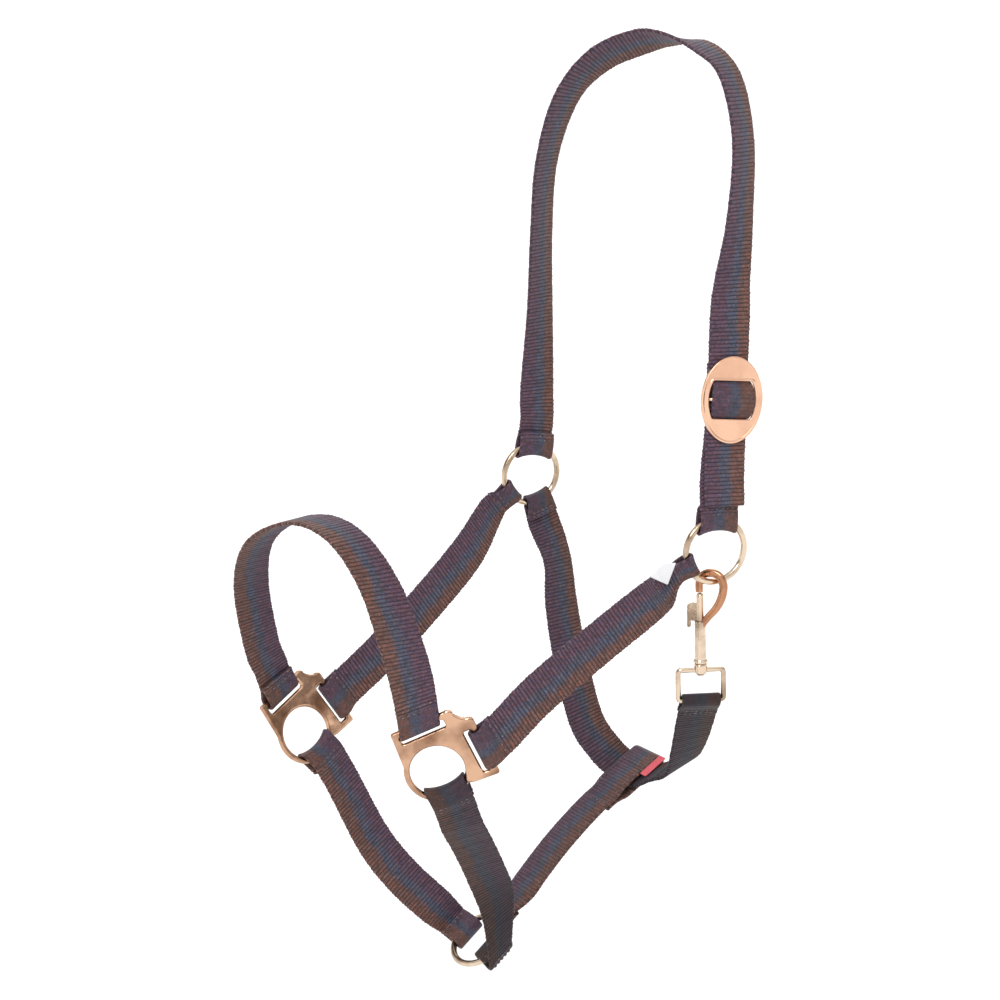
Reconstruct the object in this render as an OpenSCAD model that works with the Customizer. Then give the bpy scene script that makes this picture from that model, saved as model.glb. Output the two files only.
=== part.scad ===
// Webbing headcollar, worn by a head that faces -X. The near side is -Y and +Z is up.
// The origin is where the crown strap rests on the poll.

/* [Webbing] */
// Width of every strap
web_w = 25; // [24:0.5:26]
// Thickness of one layer of webbing
web_t = 2.2; // [1.9:0.1:2.4]
// Gap between two layers that are sewn together
ply_gap = 0.3; // [0.2:0.05:0.4]
// Length of webbing that is folded back and sewn at each end
fold_len = 14; // [12:1:38]
// Width of a strap where it is gathered on a ring beside other pieces
gathered_w = 17; // [16:0.5:18]
// Width of the chin straps at their ring
chin_w = 21; // [20:0.5:22]

/* [Rings] */
// Radius of a cheek ring, to the middle of its wire
ring_r = 19.5; // [19.25:0.25:20]
// Radius of the chin ring, to the middle of its wire
chin_ring_r = 18; // [17.75:0.25:18.5]
// Radius of the ring wire
wire_r = 2; // [1.8:0.1:2.1]

/* [Square fittings] */
// Radius of the round eye of a square fitting
eye_r = 15.8; // [15.5:0.1:16]
// Width of the rim round the eye
rim_w = 3.6; // [3.4:0.1:3.8]
// Thickness of the plate
plate_t = 3.4; // [3.2:0.1:3.6]
// Distance from the eye's centre to the middle of each strap bar
bar_at = 30.2; // [30:0.1:30.6]
// Width of a strap bar
bar_w = 3.8; // [3.6:0.1:4]
// Length of the slot beside each bar
slot_len = 27.5; // [27:0.5:28]

/* [Crown slide] */
// Width of the oval slide
slide_w = 38; // [37:0.5:39]
// Height of the oval slide
slide_h = 52; // [50:0.5:54]
// Thickness of the oval slide
slide_t = 2.6; // [2.2:0.1:2.8]
// Height of the slide's window
window_h = 22.6; // [22:0.2:23]
// Radius of the bar across the window
slide_bar_r = 2; // [1.8:0.1:2.1]

/* [Snap hook] */
// Radius of the sliding bolt
bolt_r = 2.25; // [2.1:0.05:2.3]
// Radius of the barrel that holds the bolt
barrel_r = 3.5; // [3.4:0.1:3.8]
// Thickness of the hook
hook_t = 3.6; // [3.4:0.1:3.8]
// Running clearance round the bolt and the swivel pin
run_gap = 0.05; // [0.03:0.01:0.08]
// Radius of the swivel pin
pin_r = 1.6; // [1.5:0.05:1.7]
// Inside half width of the swivel eye, to the middle of its wire
eye_half_w = 14; // [13.9:0.1:14.4]
// Radius of the swivel eye's wire
eye_wire_r = 1.7; // [1.5:0.1:1.8]

/* [Hidden] */
$fn = 64;

half_ply = (web_t + ply_gap) / 2;    // from the middle of a folded strap to the middle of a layer
clear = 0.4;                         // air between webbing and the metal in its fold
taper_len = 12;                      // over which the two layers close up behind a fold
step = 6;                            // distance between sections along a strap
webbing = [0.33, 0.27, 0.33];
gold = [0.86, 0.62, 0.48];

// ---- places and directions ----
// A frame is [centre, yaw, lean, spin]. Its plane faces -Y, turned by yaw about Z, then leant back by
// lean, and spin turns what is drawn in it.
near_ring_at = [[-18, -86, -297.5], -15, 0, 0];
far_ring_at = [[-29, 85, -283], -10, 0, 0];
near_square_at = [[-208, -66, -400], -35, -5, 25];
far_square_at = [[-219, 64, -416], 2, 21, 27];
snap_at = [[-21.4, -79.6, -370], -34, 0, 2];
hook_turn = -32;                     // turn of the hook on its swivel
chin_ring_c = [-133, 0, -557];
chin_lean = 55;                      // lean of the chin ring's plane from the upright
chin_up = [sin(chin_lean), 0, cos(chin_lean)];

function across(f) = [cos(f[1]), sin(f[1]), 0];
function rise(f) = [-sin(f[1]) * sin(f[2]), cos(f[1]) * sin(f[2]), cos(f[2])];
function out_of(f) = [sin(f[1]) * cos(f[2]), -cos(f[1]) * cos(f[2]), sin(f[2])];
function right_of(f) = cos(f[3]) * across(f) + sin(f[3]) * rise(f);
function up_of(f) = cos(f[3]) * rise(f) - sin(f[3]) * across(f);
function at(f, u, v, w = 0) = f[0] + u * right_of(f) + v * up_of(f) + w * out_of(f);
function spoke(f, angle) = cos(angle) * right_of(f) + sin(angle) * up_of(f);
function along_wire(f, angle) = cos(angle) * up_of(f) - sin(angle) * right_of(f);

module place(f)
    translate(f[0]) rotate([0, 0, f[1]]) rotate([90 - f[2], 0, 0]) rotate([0, 0, f[3]]) children();

// How far the wire of a ring sinks below its crest at the edges of a strap of width w
function sink(radius, wire, w) = radius - wire - sqrt(pow(radius - wire, 2) - w * w / 4);

// ---- a strap as one closed skin ----
// A row is [x, y, z, width direction, width]. A fold is [wire radius, sink, length folded back].
function row(p, dir, w = web_w) = [p[0], p[1], p[2], dir[0], dir[1], dir[2], w];
function place_of(r) = [r[0], r[1], r[2]];
function dir_of(r) = unit([r[3], r[4], r[5]]);
function unit(v) = v / norm(v);

function blend4(a, b, c, d, t) =
    0.5 * (2 * b + (c - a) * t + (2 * a - 5 * b + 4 * c - d) * t * t + (3 * b - a - 3 * c + d) * t * t * t);

function smooth(rows) = let (last = len(rows) - 1) concat(
    [for (i = [0:last - 1])
        let (n = max(1, round(norm(place_of(rows[i + 1]) - place_of(rows[i])) / step)))
        for (k = [0:n - 1])
            blend4(rows[max(i - 1, 0)], rows[i], rows[i + 1], rows[min(i + 2, last)], k / n)],
    [rows[last]]);

function run_lengths(p) =
    [for (i = 0, s = 0; i < len(p); s = s + (i + 1 < len(p) ? norm(p[i + 1] - p[i]) : 0), i = i + 1) s];

function ease(x) = let (c = min(1, max(0, x))) c * c * (3 - 2 * c);

// Half the distance between the two layers, at distance d from a fold
function spread(fold, d) = let (r = fold[0] + clear + web_t / 2)
    fold[0] == 0 ? half_ply : r + (half_ply - r) * ease((d - fold[1]) / taper_len);

function tangent(p, i) = unit(p[min(i + 1, len(p) - 1)] - p[max(i - 1, 0)]);

function fold_arc(c, t, n, r, dir, w) =
    [for (a = [75:-30:-75]) [c + r * (n * sin(a) - t * cos(a)), dir, w]];

// The middle of the webbing, as [place, width direction, width], from one cut end to the other
function strap_path(rows, side, fold_a, fold_b) =
    let (s = smooth(rows), p = [for (r = s) place_of(r)], last = len(s) - 1,
         run = run_lengths(p), total = run[last],
         dir = [for (r = s) dir_of(r)],
         nrm = [for (i = [0:last]) side * unit(cross(dir[i], tangent(p, i)))],
         gap = [for (d = run) max(spread(fold_a, d), spread(fold_b, total - d))])
    concat(
        fold_a[0] == 0 ? [] : concat(
            [for (i = [last:-1:0]) if (run[i] <= fold_a[2]) [p[i] + nrm[i] * gap[i], dir[i], s[i][6]]],
            fold_arc(p[0], tangent(p, 0), nrm[0], gap[0], dir[0], s[0][6])),
        [for (i = [0:last]) [p[i] - nrm[i] * gap[i], dir[i], s[i][6]]],
        fold_b[0] == 0 ? [] : concat(
            fold_arc(p[last], -tangent(p, last), -nrm[last], gap[last], dir[last], s[last][6]),
            [for (i = [last:-1:0]) if (total - run[i] <= fold_b[2])
                [p[i] + nrm[i] * gap[i], dir[i], s[i][6]]]));

module ribbon(path) {
    p = [for (q = path) q[0]];
    last = len(path) - 1;
    points = [for (i = [0:last])
        let (n = unit(cross(path[i][1], tangent(p, i))), h = path[i][1] * path[i][2] / 2)
        for (corner = [h + n * web_t / 2, h - n * web_t / 2, -h - n * web_t / 2, -h + n * web_t / 2])
            p[i] + corner];
    sides = [for (i = [0:last - 1]) for (j = [0:3])
        let (a = 4 * i + j, b = 4 * i + (j + 1) % 4)
        for (tri = [[a, b + 4, b], [a, a + 4, b + 4]]) tri];
    ends = [[0, 1, 2], [0, 2, 3], 4 * last * [1, 1, 1] + [0, 2, 1], 4 * last * [1, 1, 1] + [0, 3, 2]];
    polyhedron(points, concat(sides, ends), convexity = 10);
}

module strap(rows, side, fold_a, fold_b) color(webbing) ribbon(strap_path(rows, side, fold_a, fold_b));

// A fold on a ring starts where the wire is at the edges of the strap
function ring_fold(w) = [wire_r, sink(ring_r, wire_r, w), fold_len];
function ring_end(f, angle, w, back) =
    row(f[0] + (ring_r - sink(ring_r, wire_r, w) + back) * spoke(f, angle), -along_wire(f, angle), w);
corner_room = 0.5;                   // the bars and the rim are square in section
rim_r = eye_r + rim_w / 2;
rim_sink = sink(rim_r, rim_w / 2, web_w);
rim_fold = [rim_w / 2 + corner_room, rim_sink, fold_len];
bar_fold = [bar_w / 2 + corner_room, 0, fold_len];
chin_fold = [wire_r + 1.2, sink(chin_ring_r, wire_r, chin_w), fold_len];
cut_end = [0, 0, 0];

// ---- straps ----
far_cheek_w = gathered_w - 2;
near_cheek_w = gathered_w - 3.5;
near_cheek_angle = -156;
// Each route is set by hand along the head, far side first or front first.
near_leg_yaw = -24;
crown_out = half_ply + web_t + ply_gap;   // the tail lies in front of the adjuster strap
tail_flare = 3;                           // and its tip stands off
near_leg_dir = [cos(near_leg_yaw), sin(near_leg_yaw), 0];
near_leg_top = [-6, -78, -171];
near_leg_low = [-15, -87, -277];
near_leg_out = unit(cross(near_leg_low - near_leg_top, near_leg_dir));
function near_leg(t) = near_leg_top + t * (near_leg_low - near_leg_top);

crown_rows = concat(
    [for (back = [0, 22]) ring_end(far_ring_at, 82, web_w, back)],
    [row([-25, 83, -227], [1, -0.15, 0]),
     row([-27, 77, -173], [0.97, 0.2, 0]),
     row([-32, 69, -120], [0.94, 0.34, 0]),
     row([-35, 60, -75], [0.94, 0.34, 0]),
     row([-31, 46, -36], [0.93, 0.2, -0.1]),
     row([-20, 29, -13], [0.8, 0.2, -0.45]),
     row([-6, 8, -2], [0.76, 0.3, -0.56]),
     row([3, -8, 0], [0.82, 0.47, -0.32]),
     row([13, -27, -4], [0.91, 0.39, 0.14]),
     row([20, -44, -20], [0.95, 0.29, 0]),
     row([20, -57, -57], [0.95, 0.30, 0]),
     row([10, -67, -102], [0.99, 0.16, 0]),
     row([-1, -74.5, -137], [0.99, -0.2, 0])],
    [for (leg = [[-0.14, 0], [0.2, 0], [0.5, 0], [0.72, 0], [0.82, 0.3], [0.93, 1]])
        row(near_leg(leg[0]) + near_leg_out * (crown_out - half_ply + tail_flare * leg[1]), near_leg_dir)]);

adjuster_rows = [
    row(near_leg(0.12), near_leg_dir),
    row(near_leg(0.45), near_leg_dir),
    row(near_leg(0.75) - 2 * near_leg_dir, near_leg_dir),
    ring_end(near_ring_at, 88, web_w, 10),
    ring_end(near_ring_at, 88, web_w, 0)];

near_cheek_rows = [
    row(at(near_square_at, bar_at, 2), up_of(near_square_at)),
    row([-174, -82, -379], [-0.42, 0.36, 0.84]),
    row([-147, -81, -362], [-0.42, 0.38, 0.83]),
    row([-101, -80, -340], [-0.42, 0.4, 0.82]),
    row([-70, -83, -323], [-0.45, 0.36, 0.82]),
    row([-50, -76, -319], [-0.45, 0.3, 0.82], web_w - 1),
    ring_end(near_ring_at, near_cheek_angle, near_cheek_w, 9),
    ring_end(near_ring_at, near_cheek_angle, near_cheek_w, 0)];

far_cheek_rows = [
    row(at(far_square_at, bar_at, 2), up_of(far_square_at)),
    row(at(far_square_at, bar_at + 12, 3), up_of(far_square_at)),
    row([-156, 74, -379], [-0.42, 0.4, 0.82]),
    row([-118, 75, -351], [-0.42, 0.4, 0.82]),
    row([-84, 80, -326], [-0.45, 0.36, 0.82]),
    ring_end(far_ring_at, -144, 22, 21),
    ring_end(far_ring_at, -144, far_cheek_w, 9),
    ring_end(far_ring_at, -144, far_cheek_w, 0)];

noseband_rows = [
    row(at(far_square_at, 3, bar_at), right_of(far_square_at)),
    row([-238, 69, -371], [0.93, 0.15, 0.3]),
    row([-246, 65, -354], [0.98, 0.1, 0.2]),
    row([-259, 52, -311], [1, 0.1, 0]),
    row([-268, 26, -278], [0.96, 0.25, -0.05]),
    row([-262, 5, -262], [0.98, 0.2, 0]),
    row([-254, -18, -257], [1, 0.1, 0]),
    row([-247, -40, -265], [1, 0.05, 0]),
    row([-239, -57, -288], [0.98, -0.15, 0]),
    row([-230, -63, -320], [0.9, -0.38, 0.1]),
    row([-222, -62, -346], [0.82, -0.48, 0.25]),
    row(at(near_square_at, 3, bar_at), right_of(near_square_at))];

// The chin straps leave the ring at a slant to its plane.
chin_slant = 20;
chin_front = [-cos(chin_lean), 0, sin(chin_lean)];
function chin_end(way, back) =
    row(chin_ring_c + [0, way * (chin_ring_r - sink(chin_ring_r, wire_r, chin_w)), 0]
        + back * (cos(chin_slant) * [0, way, 0] + sin(chin_slant) * chin_front), chin_up, chin_w);

near_chin_rows = [
    row(at(near_square_at, 0, -rim_r + rim_sink), right_of(near_square_at)),
    row(at(near_square_at, 0, -rim_r + rim_sink - 9), right_of(near_square_at)),
    row([-190, -64, -438.5], [0.78, -0.55, 0.30]),
    row([-173.5, -51, -460], [0.80, -0.53, 0.26]),
    row([-154, -37, -489], [0.82, -0.45, 0.30]),
    row([-138, -27, -520], [0.82, -0.2, 0.5]),
    chin_end(-1, 12),
    chin_end(-1, 0)];

far_chin_rows = [
    row(at(far_square_at, 0, -rim_r + rim_sink), right_of(far_square_at)),
    row(at(far_square_at, 1, -rim_r + rim_sink - 20), right_of(far_square_at)),
    row([-183, 46, -490], [0.86, 0.08, 0.48]),
    row([-167, 36, -517], [0.80, 0, 0.58]),
    row([-148, 27, -540], [0.82, 0, 0.57]),
    chin_end(1, 12),
    chin_end(1, 0)];

jowl_from = chin_ring_r - sink(chin_ring_r, wire_r, gathered_w);
jowl_rows = [
    row(chin_ring_c + jowl_from * chin_up, [0, 1, 0], gathered_w),
    row(chin_ring_c + (jowl_from + 9) * chin_up, [0, 1, 0], gathered_w + 2),
    row([-99, 0, -534], [0, 1, 0]),
    row([-86, 0, -522], [0, 1, 0]),
    row([-67, 0, -506], [0, 1, 0]),
    row([-42, 0, -489], [0, 1, 0]),
    row([-21, 0, -478.4], [0, 1, 0]),
    row([5, 0, -465.3], [0, 1, 0])];
throat_fold = [2.2, web_w + 4, web_w + 24];

function throat_end(w, back) =
    row(far_ring_at[0] + (ring_r - sink(ring_r, wire_r, w) + back) * spoke(far_ring_at, -73),
        along_wire(far_ring_at, -73), w);

throat_rows = [
    throat_end(gathered_w + 1, 0),
    throat_end(web_w - 2, 19),
    row([-12, 76, -343], [1, 0.1, 0]),
    row([-15, 68, -370], [1, -0.1, 0.05]),
    row([-17, 56, -403], [1, -0.2, 0.15]),
    row([-17, 38, -444], [0.95, -0.2, 0.3]),
    row([-12, 24, -462], [0.92, -0.1, 0.4]),
    row([-8, 11, -470], [0.89, 0, 0.45]),
    row([-8, -11, -470], [0.89, 0, 0.45]),
    row([-5, -26, -463], [0.9, -0.1, 0.42]),
    row([0, -38.5, -456], [0.9, -0.2, 0.4]),
    row([-6, -53, -436], [0.9, -0.35, 0.2]),
    row([-16, -71, -407], [0.85, -0.5, 0.05]),
    row(at(snap_at, 0, -24.5), right_of(snap_at), web_w - 1)];

module crown_strap() strap(crown_rows, 1, ring_fold(web_w), cut_end);
module adjuster_strap() strap(adjuster_rows, 1, cut_end, ring_fold(web_w));
// This fold is longer, since the care label is sewn in between its layers
label_fold_len = 32;
label_fold = [wire_r, sink(ring_r, wire_r, near_cheek_w), label_fold_len];
module near_cheek_strap() strap(near_cheek_rows, 1, bar_fold, label_fold);
module far_cheek_strap() strap(far_cheek_rows, 1, bar_fold, ring_fold(far_cheek_w));
module noseband() strap(noseband_rows, 1, bar_fold, bar_fold);
module near_chin_strap() strap(near_chin_rows, 1, rim_fold, chin_fold);
module far_chin_strap() strap(far_chin_rows, 1, rim_fold, chin_fold);
module jowl_strap()
    strap(jowl_rows, 1, [wire_r, sink(chin_ring_r, wire_r, gathered_w), fold_len], throat_fold);
module throat_strap() strap(throat_rows, -1, ring_fold(gathered_w + 1), [eye_wire_r, 0, fold_len]);

// ---- rings ----
module ring(radius) rotate_extrude() translate([radius, 0]) circle(wire_r, $fn = 24);

module near_ring() color(gold) place(near_ring_at) ring(ring_r);
module far_ring() color(gold) place(far_ring_at) ring(ring_r);
module chin_ring() color(gold) translate(chin_ring_c) rotate([0, chin_lean - 90, 0]) ring(chin_ring_r);

// ---- square fittings ----
slot_w = 4.8;
slot_at = bar_at - bar_w / 2 - slot_w / 2;
top_slot_u = 3;                      // the slots are not quite centred on the eye
side_slot_v = 2;
lobe_r = 3.6;

module rounded_end(at, r) translate(at) cylinder(r = r, h = plate_t, center = true);

module square_fitting() difference() {
    edge = bar_at + bar_w / 2;
    left = top_slot_u - slot_len / 2 - 4;
    low = side_slot_v - slot_len / 2 - 4.5;
    corner = edge - 11;
    union() {
        cylinder(r = eye_r + rim_w, h = plate_t, center = true);
        linear_extrude(plate_t, center = true)
            polygon([[left, edge], [corner, edge], [edge - 5.5, edge - 5.5], [edge, corner], [edge, low],
                     [14, low], [0, 0], [-eye_r - rim_w + 0.5, 3]]);
        rounded_end([corner - 1, edge - 3, 0], lobe_r);
        rounded_end([edge - 3, corner - 1, 0], lobe_r);
        rounded_end([left + 1.5, edge - 1.5, 0], 2);
        rounded_end([edge - 1.5, low + 1.5, 0], 2);
    }
    cylinder(r = eye_r, h = plate_t + 1, center = true);
    translate([top_slot_u, slot_at, 0]) cube([slot_len, slot_w, plate_t + 1], center = true);
    translate([slot_at, side_slot_v, 0]) cube([slot_w, slot_len, plate_t + 1], center = true);
}

module near_square() color(gold) place(near_square_at) square_fitting();
module far_square() color(gold) place(far_square_at) square_fitting();

// ---- crown slide ----
slide_out = crown_out + web_t / 2 + clear + slide_t / 2;
slide_at = [near_leg(0.33) + near_leg_out * slide_out + 2 * near_leg_dir,
            near_leg_yaw, asin(near_leg_out[2]), -4];
window_a = 14.2;                     // half width of the window at the bar
bar_out = 0.8;                       // the bar stands forward of the plate's middle
window_b = 21;                       // half height of the oval that the window's sides follow

function oval(a, b) = [for (t = [0:5:355]) [a * cos(t), b * sin(t)]];

module crown_slide() color(gold) place(slide_at) {
    linear_extrude(slide_t, center = true) difference() {
        polygon(oval(slide_w / 2, slide_h / 2));
        intersection() {
            polygon(oval(window_a, window_b));
            square([2 * window_a, window_h], center = true);
        }
    }
    translate([0, 0, bar_out]) rotate([0, 90, 0])
        cylinder(r = slide_bar_r, h = 2 * window_a + 1, center = true);
}

arch_r = 9.9;                        // outside of the webbing where it arches over the bar
arch_back = -1.2;                    // where the arch stops, in front of the strap behind the slide
module slide_webbing() color(webbing) place(slide_at) rotate([0, 90, 0])
    linear_extrude(web_w - 1, center = true) intersection() {
        translate([arch_r - slide_bar_r - clear - web_t - bar_out, 0]) difference() {
            circle(arch_r);
            circle(arch_r - web_t);
        }
        translate([-20 - arch_back, 0]) square([40, 40], center = true);
    }

// ---- snap hook, in the frame of its swivel: u across, v up the barrel ----
bolt_low = 14;
bolt_top = 44.8;
barrel_top = 27;
bore_low = 4;
pin_head = 8.5;
tip_v = 45;

module hook_frame() place(snap_at) rotate([0, hook_turn, 0]) children();
module up_axis(low, high, r) translate([0, low, 0]) rotate([-90, 0, 0]) cylinder(r = r, h = high - low);

arch_v = 52.5;                       // height of the middle of the hook's arch
module hook_outline() polygon(concat(
    [for (a = [-42:6:-6]) [-21.8 + 40 * cos(a), arch_v + 40 * sin(a)]],
    [for (a = [0:10:130]) [7.6 + 10.6 * cos(a), arch_v + 8.4 * sin(a)]],
    [[-2.8, 51], [-2.8, tip_v], [2.2, tip_v]],
    [for (a = [180:-15:0]) [7.2 + 5.6 * cos(a), arch_v - 1.5 + 5.6 * sin(a)]],
    [for (a = [-6:-6:-36]) [-14.7 + 28 * cos(a), arch_v - 2.2 + 28 * sin(a)]],
    [[2.6, barrel_top], [0, barrel_top], [0, 20]]));

module snap_hook() color(gold) hook_frame() difference() {
    union() {
        linear_extrude(hook_t, center = true) hook_outline();
        up_axis(0, barrel_top, barrel_r);
        up_axis(0, 2, barrel_r + 1);
    }
    up_axis(bore_low, tip_v, bolt_r + run_gap);
    up_axis(-1, bore_low + 1, pin_r + 0.02);
    translate([-5, 18, -1.2]) cube([5, 20, 2.4]);
}

module snap_bolt() color(gold) hook_frame() {
    up_axis(bolt_low, bolt_top, bolt_r);
    linear_extrude(2, center = true)
        polygon([[0, 26.5], [0, 38], [-4, 38.5], [-8.7, 36.5], [-8.7, 22], [-6.4, 22], [-6.4, 26.5]]);
}

spring_r = 1.5;
spring_wire_r = 0.25;
spring_turns = 5;
spring_low = bore_low + 0.4;
spring_high = bolt_low - 0.4;
module bolt_spring() color("silver") hook_frame() {
    count = spring_turns * 12;
    rise = (spring_high - spring_low) / count;
    points = [for (i = [0:count]) for (k = [0:5])
        let (a = 30 * i, b = 60 * k, r = spring_r + spring_wire_r * cos(b))
            [r * cos(a), spring_low + rise * i + spring_wire_r * sin(b), r * sin(a)]];
    sides = [for (i = [0:count - 1]) for (k = [0:5])
        let (a = 6 * i + k, b = 6 * i + (k + 1) % 6)
        for (tri = [[a, b + 6, b], [a, a + 6, b + 6]]) tri];
    ends = [for (k = [1:4]) for (tri = [[0, k, k + 1], 6 * count * [1, 1, 1] + [0, k + 1, k]]) tri];
    polyhedron(points, concat(sides, ends), convexity = 10);
}

eye_low = -24.5;
eye_high = -4.6;
module swivel_eye() color(gold) place(snap_at) difference() {
    union() {
        for (v = [eye_low, eye_high])
            translate([0, v, 0]) rotate([0, 90, 0]) cylinder(r = eye_wire_r, h = 2 * eye_half_w, center = true);
        for (u = [-eye_half_w, eye_half_w]) {
            translate([u, 0, 0]) up_axis(eye_low, eye_high, eye_wire_r);
            for (v = [eye_low, eye_high])
                translate([u, v, 0]) sphere(eye_wire_r);
        }
        up_axis(-6.8, -0.4, 4);
    }
    up_axis(-8, 1, pin_r + run_gap);
}

module swivel_pin() color(gold) hook_frame() {
    up_axis(-7.5, bore_low - 0.1, pin_r);
    up_axis(-pin_head, -7.1, pin_r + 1.2);
}

// ---- sewn-in labels ----
// The care label is sewn between the two layers of the near cheek strap and stands out above them.
label_at = [[-50, -76, -319], -28, 3.5, 0];
module care_label() color("white") place(label_at)
    linear_extrude(0.2, center = true) polygon([[-9, 10], [-1, 17], [7, 17.5], [3, 8]]);

// The tab stands out at the near edge of the loop that the jowl strap makes round the throat strap.
module throat_tab() color("crimson") translate([-3, -web_w / 2 - 3.05, -464.5]) rotate([0, -27, 0])
    cube([19, 6, 0.6], center = true);

crown_strap();
adjuster_strap();
near_cheek_strap();
far_cheek_strap();
noseband();
near_chin_strap();
far_chin_strap();
jowl_strap();
throat_strap();
near_ring();
far_ring();
chin_ring();
near_square();
far_square();
crown_slide();
slide_webbing();
snap_hook();
snap_bolt();
bolt_spring();
swivel_eye();
swivel_pin();
care_label();
throat_tab();
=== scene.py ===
"""A webbing headcollar in the shape that it has on a head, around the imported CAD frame.

Lengths are millimetres until a mesh is made, as in the CAD source; MM turns them into metres.
"""

import math
from collections import namedtuple

import bpy
import numpy as np
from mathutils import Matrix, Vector
from mathutils.geometry import tessellate_polygon


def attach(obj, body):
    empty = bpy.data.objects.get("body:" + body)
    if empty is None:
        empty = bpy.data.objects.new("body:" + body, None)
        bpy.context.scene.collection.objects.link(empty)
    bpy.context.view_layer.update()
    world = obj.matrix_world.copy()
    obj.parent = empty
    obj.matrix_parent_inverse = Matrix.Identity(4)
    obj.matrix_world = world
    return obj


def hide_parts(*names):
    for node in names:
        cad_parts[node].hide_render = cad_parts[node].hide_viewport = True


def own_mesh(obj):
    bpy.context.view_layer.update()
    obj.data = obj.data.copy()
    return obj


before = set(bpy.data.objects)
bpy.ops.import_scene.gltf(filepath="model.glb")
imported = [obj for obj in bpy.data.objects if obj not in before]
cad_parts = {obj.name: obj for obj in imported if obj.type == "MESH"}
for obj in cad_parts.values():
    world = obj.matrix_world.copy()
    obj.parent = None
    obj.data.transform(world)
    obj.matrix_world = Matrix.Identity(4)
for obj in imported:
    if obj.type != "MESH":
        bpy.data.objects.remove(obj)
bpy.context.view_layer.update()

MM = 0.001
ROOT = "headcollar"

# ---- camera ----
VIEW_AZIMUTH = -36
VIEW_ELEVATION = 15
VIEW_DISTANCE = 1.2
VIEW_TARGET = (-0.116, 0, -0.269)
LENS = 71.3


def add_camera():
    azimuth, elevation = math.radians(VIEW_AZIMUTH), math.radians(VIEW_ELEVATION)
    back = Vector((math.sin(azimuth) * math.cos(elevation),
                   -math.cos(azimuth) * math.cos(elevation),
                   math.sin(elevation)))
    data = bpy.data.cameras.new("camera")
    data.lens = LENS
    data.sensor_width = 36
    data.clip_end = 200
    camera = bpy.data.objects.new("camera", data)
    camera.location = Vector(VIEW_TARGET) + VIEW_DISTANCE * back
    camera.rotation_euler = back.to_track_quat("Z", "Y").to_euler()
    bpy.context.scene.collection.objects.link(camera)
    bpy.context.scene.camera = camera


add_camera()

# ---- sizes, as in the CAD source ----
WEB_W = 25
WEB_T = 2.2
PLY_GAP = 0.3
FOLD_LEN = 14
LABEL_FOLD_LEN = 32
GATHERED_W = 17
CHIN_W = 21
RING_R = 19.5
CHIN_RING_R = 18
WIRE_R = 2
EYE_R = 15.8
RIM_W = 3.6
PLATE_T = 3.4
BAR_AT = 30.2
BAR_W = 3.8
SLOT_LEN = 27.5
SLIDE_W = 38
SLIDE_H = 52
SLIDE_T = 2.6
WINDOW_H = 22.6
SLIDE_BAR_R = 2
BOLT_R = 2.25
PIN_R = 1.6
EYE_HALF_W = 14
EYE_WIRE_R = 1.7
HALF_PLY = (WEB_T + PLY_GAP) / 2
CLEAR = 0.4
TAPER_LEN = 12
CORNER_ROOM = 0.5

# ---- places and directions ----
Frame = namedtuple("Frame", "centre right up out")


def vec(*v):
    return np.array(v, float)


def unit(v):
    return v / np.linalg.norm(v)


def frame_of(centre, yaw, lean, spin):
    yaw, lean, spin = (math.radians(a) for a in (yaw, lean, spin))
    across = vec(math.cos(yaw), math.sin(yaw), 0)
    rise = vec(-math.sin(yaw) * math.sin(lean), math.cos(yaw) * math.sin(lean), math.cos(lean))
    out = vec(math.sin(yaw) * math.cos(lean), -math.cos(yaw) * math.cos(lean), math.sin(lean))
    right = math.cos(spin) * across + math.sin(spin) * rise
    up = math.cos(spin) * rise - math.sin(spin) * across
    return Frame(vec(*centre), right, up, out)


def at(f, u, v, w=0):
    return f.centre + u * f.right + v * f.up + w * f.out


def spoke(f, angle):
    return math.cos(math.radians(angle)) * f.right + math.sin(math.radians(angle)) * f.up


def along_wire(f, angle):
    return spoke(f, angle + 90)


near_ring_at = frame_of((-18, -86, -297.5), -15, 0, 0)
far_ring_at = frame_of((-29, 85, -283), -10, 0, 0)
near_square_at = frame_of((-208, -66, -400), -35, -5, 25)
far_square_at = frame_of((-219, 64, -416), 2, 21, 27)
snap_at = frame_of((-21.4, -79.6, -370), -34, 0, 2)
HOOK_TURN = -32
chin_ring_c = vec(-133, 0, -557)
CHIN_LEAN = math.radians(55)
chin_up = vec(math.sin(CHIN_LEAN), 0, math.cos(CHIN_LEAN))
chin_front = vec(-math.cos(CHIN_LEAN), 0, math.sin(CHIN_LEAN))


def turned(f, degrees):
    """f turned about its own up direction, as the hook is on its swivel."""
    a = math.radians(degrees)
    right = math.cos(a) * f.right - math.sin(a) * f.out
    out = math.cos(a) * f.out + math.sin(a) * f.right
    return Frame(f.centre, right, f.up, out)


hook_at = turned(snap_at, HOOK_TURN)


# ---- straps ----
def sink(radius, wire, w):
    """How far the wire of a ring sinks below its crest at the edges of a strap of width w."""
    return radius - wire - math.sqrt((radius - wire) ** 2 - w * w / 4)


# The columns of a row: place, direction of the width, and width. A path adds the height of its ribs, the
# direction in which it bows, and the radius of the ring that it bows round.
PLACE = slice(0, 3)
ACROSS = slice(3, 6)
WIDTH = 6
RIB = 7
BOW = slice(8, 11)
BOW_R = 11
AFTER_PLACE = slice(3, None)


def row(p, direction, w=WEB_W):
    return np.concatenate([p, direction, [w]]).astype(float)


def blend4(a, b, c, d, t):
    return 0.5 * (2 * b + (c - a) * t + (2 * a - 5 * b + 4 * c - d) * t * t
                  + (3 * b - a - 3 * c + d) * t ** 3)


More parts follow.
